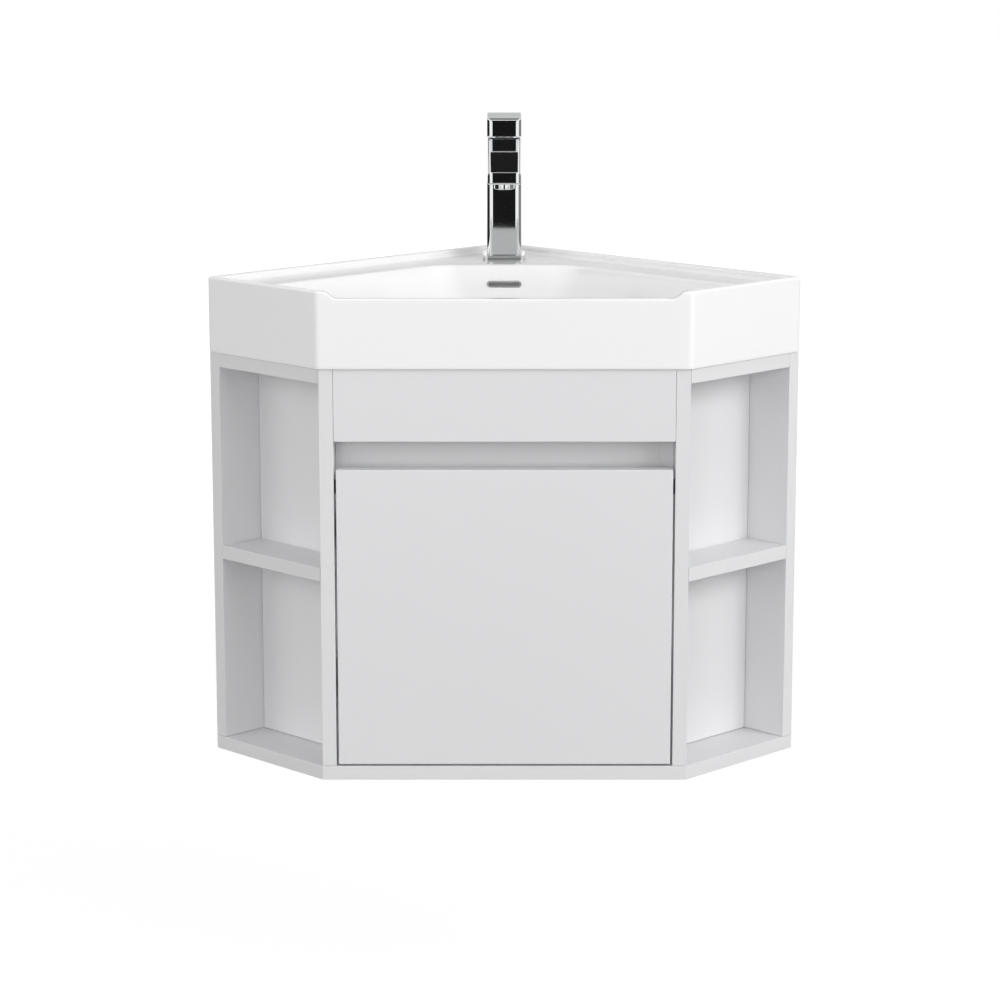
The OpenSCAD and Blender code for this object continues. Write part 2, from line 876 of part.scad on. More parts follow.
// Turning core of the cartridge, slotted for the lever's stem
module tap_turret() {
    color(steel_grey)
    at_tap() difference() {
        z_cylinder(turret_r, column_top - 12.5, turret_top);
        translate([-stem_half - 0.5, -9.5, pivot_z - 5.8])
            cube([2 * stem_half + 1, 19, turret_top - pivot_z + 7]);
        translate([0, 0, pivot_z]) rotate([0, 90, 0])
            cylinder(r = lever_pin_r + hole_play, h = 30, center = true, $fn = 24);
    }
}

module lever_pin() {
    color(steel_grey)
    at_tap() translate([0, 0, pivot_z])
        rotate([0, 90, 0]) cylinder(r = lever_pin_r, h = lever_pin_l, center = true, $fn = 24);
}

module lever_stem() {
    color(steel_grey)
    at_tap() difference() {
        translate([-stem_half, -stem_half, pivot_z - 3])
            cube([2 * stem_half, 2 * stem_half, lever_screw_z - pivot_z + 3]);
        translate([0, 0, pivot_z]) rotate([0, 90, 0])
            cylinder(r = lever_pin_r + pin_clearance, h = 30, center = true, $fn = 24);
    }
}

module tap_lever() {
    socket = stem_half + hole_play;
    color(chrome_grey)
    at_tap() difference() {
        rotate([90, 0, -90]) translate([0, 0, -tap_half]) linear_extrude(tap_w)
            polygon([[-tap_half, lever_z + lever_rear_lift], [-tap_half, lever_z + lever_back_h],
                [tap_half, lever_z + lever_h], [tap_half, lever_z], [2, lever_z]]);
        translate([-socket, -socket, lever_z - 1]) cube([2 * socket, 2 * socket, 15 + hole_play]);
        translate([0, 0, lever_screw_z])
            rotate([-90, 0, 0]) cylinder(r = lever_screw_r + hole_play, h = 40, $fn = 24);
    }
}

// Set screw that holds the lever on its stem, reached from the back
module lever_screw() {
    color(steel_grey)
    at_tap() translate([0, stem_half + hole_play, lever_screw_z])
        rotate([-90, 0, 0]) cylinder(r = lever_screw_r, h = tap_half - stem_half - 3, $fn = 24);
}

// ---------------------------------------------------------------- one line for each node

bottom_panel();
color(white) end_panel();  // left_end_panel
color(white) mirror([1, 0, 0]) end_panel();  // right_end_panel
left_partition();
color(white) mirror([1, 0, 0]) partition();  // right_partition
color(white) bay_back();  // left_bay_back
color(white) mirror([1, 0, 0]) bay_back();  // right_bay_back
color(white) top_board();  // left_top_board
color(white) mirror([1, 0, 0]) top_board();  // right_top_board
color(white) shelf();  // left_shelf
color(white) mirror([1, 0, 0]) shelf();  // right_shelf
fascia();
recess_board();
color(white) cleat();  // left_cleat
color(white) mirror([1, 0, 0]) cleat();  // right_cleat
color(white) rail(board, cab_h - hang_rail_h, hang_rail_h, true);  // left_hanging_rail
color(white) mirror([1, 0, 0]) rail(0, cab_h - hang_rail_h, hang_rail_h, true);  // right_hanging_rail
color(white) rail(board, board, low_rail_h, false);  // left_lower_rail
color(white) mirror([1, 0, 0]) rail(0, board, low_rail_h, false);  // right_lower_rail
bay_dowels();
base_screws();
left_door_buffer();
right_door_stop();
mounting_plate(upper_hinge_z);  // upper_mounting_plate
mounting_plate(lower_hinge_z);  // lower_mounting_plate
hinge_arm(upper_hinge_z);  // upper_hinge_arm
hinge_arm(lower_hinge_z);  // lower_hinge_arm
plate_screws();
door();
hinge_cup(upper_hinge_z);  // upper_hinge_cup
hinge_cup(lower_hinge_z);  // lower_hinge_cup
hinge_pins();
cup_screws();
basin();
overflow_trim();
waste_body();
waste_gasket();
waste_backnut();
waste_plug();
tap_base_plate();
tap_base_seal();
tap_body();
tap_cartridge();
cartridge_ring();
tap_aerator();
tap_stud();
tap_clamp_gasket();
tap_clamp_plate();
tap_nut();
tap_turret();
lever_pin();
tap_lever();
lever_stem();
lever_screw();
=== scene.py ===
"""Looks of a wall-hung corner vanity unit: glazed basin, satin white boards and door, chrome
mixer tap and its fittings, with a studio floor, lamps, cards and camera. Lengths are in metres
in the row's frame, apart from those that say millimetres."""

import json
import math

import bmesh
import bpy
import numpy as np
from mathutils import Matrix, Vector


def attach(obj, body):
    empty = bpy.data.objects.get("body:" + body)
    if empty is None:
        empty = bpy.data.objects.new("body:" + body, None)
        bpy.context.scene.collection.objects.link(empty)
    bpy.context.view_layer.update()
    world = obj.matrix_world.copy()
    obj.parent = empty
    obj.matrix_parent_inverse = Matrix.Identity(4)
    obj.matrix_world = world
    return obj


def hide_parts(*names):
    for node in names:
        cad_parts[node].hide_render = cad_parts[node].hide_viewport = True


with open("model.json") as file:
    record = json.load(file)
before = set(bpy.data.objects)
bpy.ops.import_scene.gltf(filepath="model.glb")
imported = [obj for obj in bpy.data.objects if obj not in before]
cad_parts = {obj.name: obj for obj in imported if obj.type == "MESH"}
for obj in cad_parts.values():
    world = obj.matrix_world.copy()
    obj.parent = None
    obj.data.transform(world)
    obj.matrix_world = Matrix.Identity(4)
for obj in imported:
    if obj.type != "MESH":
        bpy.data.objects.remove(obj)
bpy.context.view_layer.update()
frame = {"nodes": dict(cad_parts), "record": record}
NODES = frame["nodes"]
MM = 0.001
ROOT2 = math.sqrt(2)


# ------------------------------------------------------------------ camera

def make_camera():
    data = bpy.data.cameras.new("camera")
    data.sensor_width = 36
    data.lens = 108.03
    data.clip_end = 60
    camera = bpy.data.objects.new("camera", data)
    bpy.context.scene.collection.objects.link(camera)
    camera.location = (-0.0050, -3.6983, 0.9727)
    camera.rotation_euler = (math.radians(78.59), 0, 0)
    bpy.context.scene.camera = camera


make_camera()


# ------------------------------------------------------------------ shared shader groups

def value_group(name, inputs, outputs):
    """An empty node group with the named inputs, given as name: default, and outputs."""
    group = bpy.data.node_groups.new(name, "ShaderNodeTree")
    for label, default in inputs.items():
        kind = "NodeSocketColor" if isinstance(default, tuple) else "NodeSocketFloat"
        socket = group.interface.new_socket(label, in_out="INPUT", socket_type=kind)
        socket.default_value = default
    for label, kind in outputs.items():
        group.interface.new_socket(label, in_out="OUTPUT", socket_type=kind)
    return group, group.nodes.new("NodeGroupInput"), group.nodes.new("NodeGroupOutput")


def noise_node(tree, scale, detail, roughness=0.5):
    """A noise texture on Object coordinates, stretched by a vector scale."""
    place = tree.nodes.new("ShaderNodeTexCoord")
    stretch = tree.nodes.new("ShaderNodeMapping")
    noise = tree.nodes.new("ShaderNodeTexNoise")
    stretch.inputs["Scale"].default_value = scale
    noise.inputs["Scale"].default_value = 1
    noise.inputs["Detail"].default_value = detail
    noise.inputs["Roughness"].default_value = roughness
    tree.links.new(place.outputs["Object"], stretch.inputs["Vector"])
    tree.links.new(stretch.outputs["Vector"], noise.inputs["Vector"])
    return noise


def math_node(tree, operation, *sources):
    """The result of a Math node. Each of its inputs is linked to a socket or set to a number."""
    node = tree.nodes.new("ShaderNodeMath")
    node.operation = operation
    for socket, source in zip(node.inputs, sources):
        if isinstance(source, (int, float)):
            socket.default_value = source
        else:
            tree.links.new(source, socket)
    return node.outputs[0]


def make_tone_drift():
    """Slow mottling of a colour and of a roughness, as on any real coated surface."""
    group, given, made = value_group(
        "tone_drift",
        {"Color": (0.8, 0.8, 0.8, 1), "Darker": 0.02, "Roughness": 0.4, "Spread": 0.05},
        {"Color": "NodeSocketColor", "Roughness": "NodeSocketFloat"})
    link = group.links.new
    broad = noise_node(group, (5, 5, 5), 3)
    fine = noise_node(group, (60, 60, 60), 4, 0.6)
    share = math_node(group, "MULTIPLY", broad.outputs["Fac"], given.outputs["Darker"])
    tint = group.nodes.new("ShaderNodeVectorMath")
    tint.operation = "SCALE"
    link(given.outputs["Color"], tint.inputs[0])
    link(math_node(group, "SUBTRACT", 1, share), tint.inputs["Scale"])
    centred = math_node(group, "SUBTRACT", fine.outputs["Fac"], 0.5)
    swing = math_node(group, "MULTIPLY_ADD", centred, given.outputs["Spread"],
                      given.outputs["Roughness"])
    link(tint.outputs[0], made.inputs["Color"])
    link(swing, made.inputs["Roughness"])
    return group


def make_fine_relief():
    """Bump from noise of a chosen fineness, such as the orange peel of a lacquer."""
    group, given, made = value_group(
        "fine_relief", {"Fineness": 400.0, "Height": 0.00002, "Strength": 0.3},
        {"Normal": "NodeSocketVector"})
    link = group.links.new
    place = group.nodes.new("ShaderNodeTexCoord")
    noise = group.nodes.new("ShaderNodeTexNoise")
    noise.inputs["Detail"].default_value = 2
    bump = group.nodes.new("ShaderNodeBump")
    link(place.outputs["Object"], noise.inputs["Vector"])
    link(given.outputs["Fineness"], noise.inputs["Scale"])
    link(noise.outputs["Fac"], bump.inputs["Height"])
    link(given.outputs["Height"], bump.inputs["Distance"])
    link(given.outputs["Strength"], bump.inputs["Strength"])
    link(bump.outputs["Normal"], made.inputs["Normal"])
    return group


TONE_DRIFT = make_tone_drift()
FINE_RELIEF = make_fine_relief()


# ------------------------------------------------------------------ materials

def finish(name, color, roughness, darker=0.02, spread=0.05, relief=None, **sockets):
    """A Principled material whose colour, roughness and normal come from the shared groups."""
    material = bpy.data.materials.new(name)
    material.use_nodes = True
    tree = material.node_tree
    shader = tree.nodes["Principled BSDF"]
    drift = tree.nodes.new("ShaderNodeGroup")
    drift.node_tree = TONE_DRIFT
    drift.inputs["Color"].default_value = (*color, 1)
    drift.inputs["Darker"].default_value = darker
    drift.inputs["Roughness"].default_value = roughness
    drift.inputs["Spread"].default_value = spread
    tree.links.new(drift.outputs["Color"], shader.inputs["Base Color"])
    tree.links.new(drift.outputs["Roughness"], shader.inputs["Roughness"])
    if relief:
        bumps = tree.nodes.new("ShaderNodeGroup")
        bumps.node_tree = FINE_RELIEF
        for label, value in zip(("Fineness", "Height", "Strength"), relief):
            bumps.inputs[label].default_value = value
        tree.links.new(bumps.outputs["Normal"], shader.inputs["Normal"])
    for label, value in sockets.items():
        shader.inputs[label.replace("_", " ")].default_value = value
    return material


def add_grain(material, noise, depth, strength):
    """Feeds the material's bump from noise, given as scale, detail and roughness."""
    tree = material.node_tree
    lines = noise_node(tree, *noise)
    bump = tree.nodes.new("ShaderNodeBump")
    bump.inputs["Distance"].default_value = depth
    bump.inputs["Strength"].default_value = strength
    tree.links.new(lines.outputs["Fac"], bump.inputs["Height"])
    tree.links.new(bump.outputs["Normal"], tree.nodes["Principled BSDF"].inputs["Normal"])
    return material


def brushed_finish(name, color, roughness, scale):
    """A metal with fine scratches, from noise that is stretched by scale."""
    material = finish(name, color, roughness, darker=0.12, spread=0.12, Metallic=1)
    return add_grain(material, (scale, 3, 0.7), 0.00002, 0.5)


def beech_finish():
    """Bare beech with a long grain."""
    material = finish("beech_dowel", (0.70, 0.54, 0.35), 0.6, darker=0.25, spread=0.1)
    return add_grain(material, ((900, 900, 60), 4, 0.65), 0.0001, 1)


# Colour, roughness, how much darker its mottling gets, how far its roughness spreads, and its
# relief as fineness, height and strength
MATERIALS = {
    "carcass_white": finish("melamine_white", (0.745, 0.745, 0.755), 0.42, 0.02, 0.06,
                            (1400, 0.00002, 0.35)),
    "front_white": finish("lacquer_white", (0.745, 0.745, 0.757), 0.36, 0.015, 0.06,
                          (700, 0.00002, 0.25)),
    "basin_ceramic": finish("glazed_ceramic", (0.915, 0.915, 0.913), 0.16, 0.01, 0.05,
                            (35, 0.00006, 0.12), Coat_Weight=0.35, Coat_Roughness=0.06),
    "tap_chrome": finish("polished_chrome", (0.83, 0.84, 0.85), 0.05, 0.03, 0.03,
                         (120, 0.00001, 0.06), Metallic=1),
    "zinc_steel": brushed_finish("nickel_plated_steel", (0.62, 0.62, 0.61), 0.30,
                                 (300, 300, 2500)),
    "black_rubber": finish("black_rubber", (0.025, 0.025, 0.025), 0.75, 0.2, 0.1,
                           (900, 0.0001, 0.5)),
    "fitting_brass": brushed_finish("machined_brass", (0.72, 0.55, 0.27), 0.28,
                                    (400, 400, 3000)),
    "cartridge_plastic": finish("grey_acetal", (0.40, 0.41, 0.42), 0.5, 0.05, 0.08,
                                (800, 0.00003, 0.3)),
    "beech_dowel": beech_finish(),
}
SLOT_OF = {row["node"]: row["material_slot"] for row in frame["record"]["subparts"]}
for node_name, node_object in NODES.items():
    node_object.data.materials.clear()
    node_object.data.materials.append(MATERIALS[SLOT_OF[node_name]])


# ------------------------------------------------------------------ making pieces

BODY_OF = {name: body for body, names in frame["record"]["behaviour"]["bodies"].items()
           for name in names}


def make_piece(name, bm, *nodes, smooth_below=35, even_shading=True):
    """Turns a bmesh into a piece that stands for CAD nodes and rides and looks as they do."""
    mesh = as_mesh(name, bm)
    mesh.shade_smooth()
    mesh.set_sharp_from_angle(angle=math.radians(smooth_below))
    slot = SLOT_OF[nodes[0]]
    mesh.materials.append(MATERIALS[slot])
    piece = bpy.data.objects.new(name, mesh)
    bpy.context.scene.collection.objects.link(piece)
    if even_shading:
        normals = piece.modifiers.new("even_shading", "WEIGHTED_NORMAL")
        normals.keep_sharp = True
    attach(piece, BODY_OF[nodes[0]])
    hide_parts(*nodes)
    return piece


def as_mesh(name, bm):
    """A mesh from the bmesh, which is used up."""
    mesh = bpy.data.meshes.new(name)
    bm.to_mesh(mesh)
    bm.free()
    return mesh


def as_bmesh(mesh):
    bm = bmesh.new()
    bm.from_mesh(mesh)
    return bm


def bevel(bm, edges, offset, segments=3):
    bmesh.ops.bevel(bm, geom=list(edges), offset=offset, offset_type="OFFSET",
                    segments=segments, profile=0.5, affect="EDGES", clamp_overlap=True,
                    material=-1)


def merged_copy(node):
    """The node's solid as a clean bmesh: doubles merged and flat faces joined up."""
    bm = as_bmesh(NODES[node].data)
    bmesh.ops.remove_doubles(bm, verts=bm.verts, dist=0.005 * MM)
    bmesh.ops.dissolve_limit(bm, angle_limit=math.radians(0.5), verts=bm.verts, edges=bm.edges)
    return bm


def crisp_edges(bm, least, angle=30):
    """Edges between faces that meet at more than angle degrees, and longer than least."""
    return [e for e in bm.edges if len(e.link_faces) == 2 and e.calc_length() > least
            and e.calc_face_angle() > math.radians(angle)]


def softened(node, arris, least=6 * MM, segments=3, gap=0.0):
    """The CAD solid with its long edges eased by a small round arris, and its faces drawn in
    by gap, so that a hairline shows where two boards meet."""
    bm = merged_copy(node)
    if gap:
        bmesh.ops.recalc_face_normals(bm, faces=bm.faces)
        bm.normal_update()
        moves = [(v, v.normal * v.calc_shell_factor() * gap) for v in bm.verts]
        for v, move in moves:
            v.co -= move
    bevel(bm, crisp_edges(bm, least), arris, segments)
    return make_piece("soft_" + node, bm, node)


# Millimetres. Arris and gap of most boards, and of those that differ.
BOARD_EDGE = (0.5, 0.15)
OTHER_EDGES = {
    "door": (0.8, 0), "recess_board": (0.2, 0),
    "left_cleat": (0.3, 0.04), "right_cleat": (0.3, 0.04),
    "left_bay_back": (1.2, 0.15), "right_bay_back": (1.2, 0.15),
}
for board_name in [n for n, s in SLOT_OF.items() if s in ("carcass_white", "front_white")]:
    board_arris, board_gap = OTHER_EDGES.get(board_name, BOARD_EDGE)
    softened(board_name, board_arris * MM, gap=board_gap * MM)


# ------------------------------------------------------------------ basin

# Millimetres. Plan of the basin and of its bowl, as in the part's source.
LEG, SIDE, RIM_Z, LEDGE_Z, BASE_Z = 475, 186, 551, 542.8, 465
RIM_W, APRON_T, LEDGE_W, DECK_FRONT = 10, 12, 59, 160
FRONT_Y = -(LEG + SIDE) / ROOT2
WASTE_Y, WASTE_HOLE_R, FLOOR_Z, BOSS_Z = -310, 23, 440, 418
TAP_Y = -91.5
EASE, INNER_EASE, COVE, MOUTH_EASE = 2.5, 3, 5, 5
LIP_HALF, LIP_STEP_W = (LEG - SIDE) / ROOT2 - 22, 16
# Half sizes of the oval that the bowl turns into towards its floor
OVAL_X, OVAL_Y = 250, 148
# Points that lie closer together than this are one point
WELD = 0.002 * MM


def unit(v):
    return v / np.linalg.norm(v)


def rounded(points, radii, steps=10):
    """A convex outline with each corner rounded by its own radius, as an array of points."""
    points = [np.array(p, float) for p in points]
    outline = []
    for i, corner in enumerate(points):
        before = unit(points[i - 1] - corner)
        after = unit(points[(i + 1) % len(points)] - corner)
        half = math.acos(before @ after) / 2
        centre = corner + unit(before + after) * radii[i] / math.sin(half)
        start = corner + before * radii[i] / math.tan(half) - centre
        turn = math.pi - 2 * half
        way = math.copysign(1, after[0] * before[1] - after[1] * before[0])
        for k in range(steps + 1):
            a = way * turn * k / steps
            c, s = math.cos(a), math.sin(a)
            outline.append(centre + (start[0] * c - start[1] * s, start[0] * s + start[1] * c))
    return np.array(outline)


def plan(inset):
    """The basin's five-sided plan, moved in by inset."""
    u = LEG - inset
    y = FRONT_Y + inset
    x = u * ROOT2 + y
    corners = [(0, -inset * ROOT2), (-(u - inset) / ROOT2, -(u + inset) / ROOT2), (-x, y),
               (x, y), ((u - inset) / ROOT2, -(u + inset) / ROOT2)]
    front_r = max(10 - inset, 4)
    return rounded(corners, [max(26 - inset, 6), 6, front_r, front_r, 6])


def mouth(grow=0.0, wide=1.0, long=1.0):
    """The bowl's six-sided outline: at the ledge, grown outwards, or drawn in lower down."""
    u, y = LEG - APRON_T, FRONT_Y + APRON_T
    ledge = LEDGE_W - grow
    side = u + grow
    x0 = DECK_FRONT - LEDGE_W * ROOT2
    x2 = side * ROOT2 + y - grow
    back = [(-x0 - grow * (ROOT2 - 1), -DECK_FRONT + grow),
            (-(side - ledge) / ROOT2, -(side + ledge) / ROOT2), (-x2, y - grow)]
    corners = [(x * wide, WASTE_Y + (cy - WASTE_Y) * long)
               for x, cy in back + [(-x, cy) for x, cy in back[::-1]]]
    r = (34 + grow) * min(wide, 1)
    return rounded(corners, [r * 1.6, r * 0.5, r * 0.8, r * 0.8, r * 0.5, r * 1.6])


def reach(outline, angles):
    """Distance from the waste hole to the outline in each direction."""
    a = outline - (0, WASTE_Y)
    ab = np.roll(a, -1, axis=0) - a
    found = np.zeros(len(angles))
    for i, angle in enumerate(angles):
        d = np.array([math.cos(angle), math.sin(angle)])
        cross = ab[:, 0] * d[1] - ab[:, 1] * d[0]
        cross[np.abs(cross) < 1e-12] = 1e-12
        far = (ab[:, 0] * a[:, 1] - ab[:, 1] * a[:, 0]) / cross
        along = (a[:, 1] * d[0] - a[:, 0] * d[1]) / cross
        ok = (along >= -1e-6) & (along <= 1 + 1e-6) & (far > 0)
        found[i] = far[ok].max()
    return found


def bowl_share(z):
    """How wide and how long the bowl is at a height, as shares of its mouth."""
    t = min(max((z - FLOOR_Z) / (LEDGE_Z - MOUTH_EASE - FLOOR_Z), 0), 1)
    return 0.26 + 0.74 * t ** (0.8 - 0.3 * t * t), 0.6 + 0.4 * t ** (0.43 - 0.2 * t * t)


def spoke_angles():
    """Directions from the waste hole: even ones, and closer ones at corners and lip steps."""
    spots = [*plan(0), *plan(RIM_W), *mouth(), *mouth(MOUTH_EASE)]
    for x in np.linspace(LIP_HALF, LIP_HALF + LIP_STEP_W, 15):
        spots += [np.array([s * x, FRONT_Y]) for s in (-1, 1)]
    angles = [math.atan2(p[1] - WASTE_Y, p[0]) for p in spots]
    angles += [math.radians(1.5 * k) - math.pi for k in range(240)]
    kept = []
    for angle in sorted(angles):
        if not kept or angle - kept[-1] > math.radians(0.12):
            kept.append(angle)
    return np.array(kept)


def smooth_step(low, high, v):
    t = np.clip((v - low) / (high - low), 0, 1)
    return t * t * (3 - 2 * t)


def lip_drop(x):
    """Share of the step by which the front lip lies below the rim, at a distance x."""
    t = np.clip((np.abs(x) - LIP_HALF) / LIP_STEP_W, 0, 1)
    return np.where(t < 0.5, 1 - 2 * t * t, 2 * (1 - t) ** 2)


def basin_loops(angles):
    """Closed chain of loops round the section, each an array of distances and of heights."""
    plans = {}

    def at_plan(inset):
        if inset not in plans:
            plans[inset] = reach(plan(inset), angles)
        return plans[inset]

    flat = np.ones(len(angles))
    lip = at_plan(APRON_T)
    brink = reach(mouth(), angles)
    ledge_there = smooth_step(3, 16, at_plan(RIM_W) - brink)
    loops = [(WASTE_HOLE_R * flat, BOSS_Z * flat), (WASTE_HOLE_R * flat, (FLOOR_Z - 1) * flat),
             ((WASTE_HOLE_R + 1) * flat, FLOOR_Z * flat), (34 * flat, FLOOR_Z * flat)]
    # Floor and wall of the bowl
    heights = FLOOR_Z + (LEDGE_Z - MOUTH_EASE - FLOOR_Z) * np.linspace(0, 1, 27) ** 1.7
    for z in heights:
        wide, long = bowl_share(z)
        six_sided = reach(mouth(0, wide, long), angles)
        oval = 1 / np.hypot(np.cos(angles) / (OVAL_X * wide), np.sin(angles) / (OVAL_Y * long))
        soft = 0.75 * (1 - (z - FLOOR_Z) / (heights[-1] - FLOOR_Z)) ** 2
        loops.append((six_sided * (1 - soft) + np.minimum(oval, six_sided * 1.2) * soft,
                      z * flat))
    # Mouth, ledge, cove and rim on the wall sides; straight lip on the sides and front
    steps = 5
    section = []
    for k in range(1, steps + 1):
        a = math.pi / 2 * (1 - k / steps)
        section.append((reach(mouth(MOUTH_EASE * (1 - math.sin(a))), angles),
                        LEDGE_Z - MOUTH_EASE * (1 - math.cos(a))))
    for k in range(steps + 1):
        a = math.pi / 2 * (1 - k / steps)
        section.append((at_plan(round(RIM_W + COVE * (1 - math.cos(a)), 3)),
                        LEDGE_Z + COVE * (1 - math.sin(a))))
    top = RIM_Z - EASE - 0.5
    for k, (far, z) in enumerate(section):
        t = (k + 1) / len(section)
        plain = brink + (lip - brink) * t * t * (3 - 2 * t)
        plain_z = LEDGE_Z - MOUTH_EASE + (top - LEDGE_Z + MOUTH_EASE) * t
        loops.append((far * ledge_there + plain * (1 - ledge_there),
                      z * ledge_there + plain_z * (1 - ledge_there)))
    for k in range(steps):
        a = math.pi / 2 * k / (steps - 1)
        back = INNER_EASE * (1 - math.cos(a))
        far = at_plan(round(RIM_W - back, 3)) * ledge_there
        far = far + at_plan(round(APRON_T - back, 3)) * (1 - ledge_there)
        loops.append((far, (RIM_Z - INNER_EASE + INNER_EASE * math.sin(a)) * flat))
    for k in range(steps):
        a = math.pi / 2 * k / (steps - 1)
        loops.append((at_plan(round(EASE * (1 - math.sin(a)), 3)),
                      (RIM_Z - EASE * (1 - math.cos(a))) * flat))
    for z in (RIM_Z - EASE - 1, 530, 500, BASE_Z + 3, BASE_Z + 2):
        loops.append((at_plan(0), z * flat))
    loops += [(at_plan(0.6), 465.6 * flat), (at_plan(2), BASE_Z * flat),
              (at_plan(10), BASE_Z * flat), (at_plan(11.4), 465.6 * flat),
              (lip, 467 * flat), (lip, 468 * flat)]
    # Hollow underside: up the apron, along the deck and down the outside of the bowl
    shell_t = 10

    def shell_reach(z):
        wide, long = bowl_share(z + shell_t)
        return reach(mouth(0, wide + shell_t / 270, long + shell_t / 140), angles)

    levels = np.linspace(FLOOR_Z - shell_t, LEDGE_Z - 12.8, 26)
    shells = np.array([shell_reach(z) for z in levels])
    meets = np.full(len(angles), levels[-1])
    for i in range(len(angles)):
        over = np.nonzero(shells[:, i] >= lip[i])[0]
        if len(over):
            meets[i] = levels[max(over[0], 1)]
    loops.append((lip, meets))
    for share in np.linspace(1, 0, 14):
        z = levels[0] + (meets - levels[0]) * share
        far = np.array([np.interp(z[i], levels, shells[:, i]) for i in range(len(angles))])
        loops.append((np.minimum(far, lip), z))
    loops += [(36 * flat, (FLOOR_Z - shell_t) * flat), (33 * flat, 427 * flat),
              (33 * flat, 419 * flat), (32 * flat, BOSS_Z * flat),
              (WASTE_HOLE_R * flat, BOSS_Z * flat)]
    return loops


def loft(angles, loops):
    """Extrudes a ring loop by loop; each loop is an array of distances and of heights."""
    bm = bmesh.new()
    ring = bmesh.ops.create_circle(bm, segments=len(angles), radius=1)["verts"]
    place = {v: i for i, v in enumerate(ring)}
    edges = list(bm.edges)
    for step, (far, height) in enumerate(loops):
        if step:
            made = bmesh.ops.extrude_edge_only(bm, edges=edges)["geom"]
            fresh = {}
            for v in made:
                if isinstance(v, bmesh.types.BMVert):
                    old = next(e.other_vert(v) for e in v.link_edges
                               if e.other_vert(v) in place)
                    fresh[v] = place[old]
            place = fresh
            edges = [e for e in made if isinstance(e, bmesh.types.BMEdge)
                     and e.verts[0] in place and e.verts[1] in place]
        for v, i in place.items():
            x = far[i] * math.cos(angles[i])
            y = WASTE_Y + far[i] * math.sin(angles[i])
            z = height[i]
            if y < FRONT_Y + 30 and z > LEDGE_Z - MOUTH_EASE:
                drop = float(lip_drop(x)) * (RIM_Z - LEDGE_Z)
                inner = y > FRONT_Y + APRON_T - 0.5
                low = LEDGE_Z - MOUTH_EASE
                span = RIM_Z - INNER_EASE - low
                z -= drop * (min((z - low) / span, 1) if inner else 1)
            v.co = Vector((x, y, z)) * MM
    bmesh.ops.remove_doubles(bm, verts=bm.verts, dist=WELD)
    bmesh.ops.recalc_face_normals(bm, faces=bm.faces)
    return bm


def combine(mesh, operation, *tools):
    """The mesh joined with, or cut by, one bmesh after the other."""
    for bm in tools:
        target = bpy.data.objects.new("target", mesh)
        tool = bpy.data.objects.new("tool", as_mesh("tool", bm))
        for o in (target, tool):
            bpy.context.scene.collection.objects.link(o)
        boolean = target.modifiers.new("combine", "BOOLEAN")
        boolean.operation = operation
        boolean.solver = "EXACT"
        boolean.object = tool
        graph = bpy.context.evaluated_depsgraph_get()
        mesh = bpy.data.meshes.new_from_object(target.evaluated_get(graph))
        for o in (target, tool):
            bpy.data.objects.remove(o)
    return mesh


def block(low, high, ease=0.0, segments=3):
    """A box between two corners in millimetres, with eased edges."""
    bm = bmesh.new()
    low, high = np.array(low, float), np.array(high, float)
    bmesh.ops.create_cube(bm, size=1)
    bmesh.ops.scale(bm, vec=Vector((high - low) * MM), verts=bm.verts)
    bmesh.ops.translate(bm, vec=Vector((low + high) / 2 * MM), verts=bm.verts)
    if ease:
        bevel(bm, bm.edges, ease * MM, segments)
    return bm


def rod(r, low, high, x=0.0, y=0.0, segments=64):
    """An upright cylinder in millimetres."""
    bm = bmesh.new()
    bmesh.ops.create_cone(bm, cap_ends=True, segments=segments, radius1=r * MM,
                          radius2=r * MM, depth=(high - low) * MM,
                          matrix=Matrix.Translation(Vector((x, y, (low + high) / 2)) * MM))
    return bm


def slot_tool(width, height, y0, y1, z):
    """A flat slot with round ends, running along Y."""
    bm = block((-width / 2, y0, z - height / 2), (width / 2, y1, z + height / 2))
    long_edges = [e for e in bm.edges if abs(e.verts[0].co.y - e.verts[1].co.y) > 1 * MM]
    bevel(bm, long_edges, height / 2.001 * MM, 12)
    return bm


def side_prism(outline, half):
    """A side outline (y and z in millimetres) given a width, centred on X."""
    bm = bmesh.new()
    face = bm.faces.new([bm.verts.new(Vector((-half, y, z)) * MM) for y, z in outline])
    made = bmesh.ops.extrude_face_region(bm, geom=[face])["geom"]
    bmesh.ops.translate(bm, vec=Vector((2 * half, 0, 0)) * MM,
                        verts=[v for v in made if isinstance(v, bmesh.types.BMVert)])
    bmesh.ops.recalc_face_normals(bm, faces=bm.faces)
    return bm


def overflow_casing():
    """The casing of the overflow's fall pipe, against the outside of the bowl's back wall."""
    low, high = FLOOR_Z - 22, 531
    wall = [(WASTE_Y + (-DECK_FRONT - WASTE_Y) * bowl_share(z)[1] + 4, z)
            for z in (high, 505, 480, 462, 450, FLOOR_Z)]
    casing = side_prism([(-139, low), (-139, high), *wall, (wall[-1][0], low)], 28)
    bevel(casing, [e for e in crisp_edges(casing, 20 * MM, 60)
                   if max(v.co.y for v in e.verts) > -140 * MM], 4 * MM)
    return casing


def make_basin():
    angles = spoke_angles()
    mesh = as_mesh("basin_shape", loft(angles, basin_loops(angles)))
    fall_foot = block((-16, -300, FLOOR_Z - 22), (16, -170, FLOOR_Z - 4), 2)
    fall_pipe = block((-21, -159, FLOOR_Z - 17), (21, -145, 525))
    overflow_slot = slot_tool(41.2, 8.2, -185, -150, 520)
    tap_hole = rod(17.5, 500, 560, 0, TAP_Y)
    mesh = combine(mesh, "UNION", overflow_casing(), fall_foot)
    mesh = combine(mesh, "DIFFERENCE", fall_pipe, overflow_slot, tap_hole)
    make_piece("ceramic_basin", as_bmesh(mesh), "basin", smooth_below=40, even_shading=False)


make_basin()


# ------------------------------------------------------------------ tap

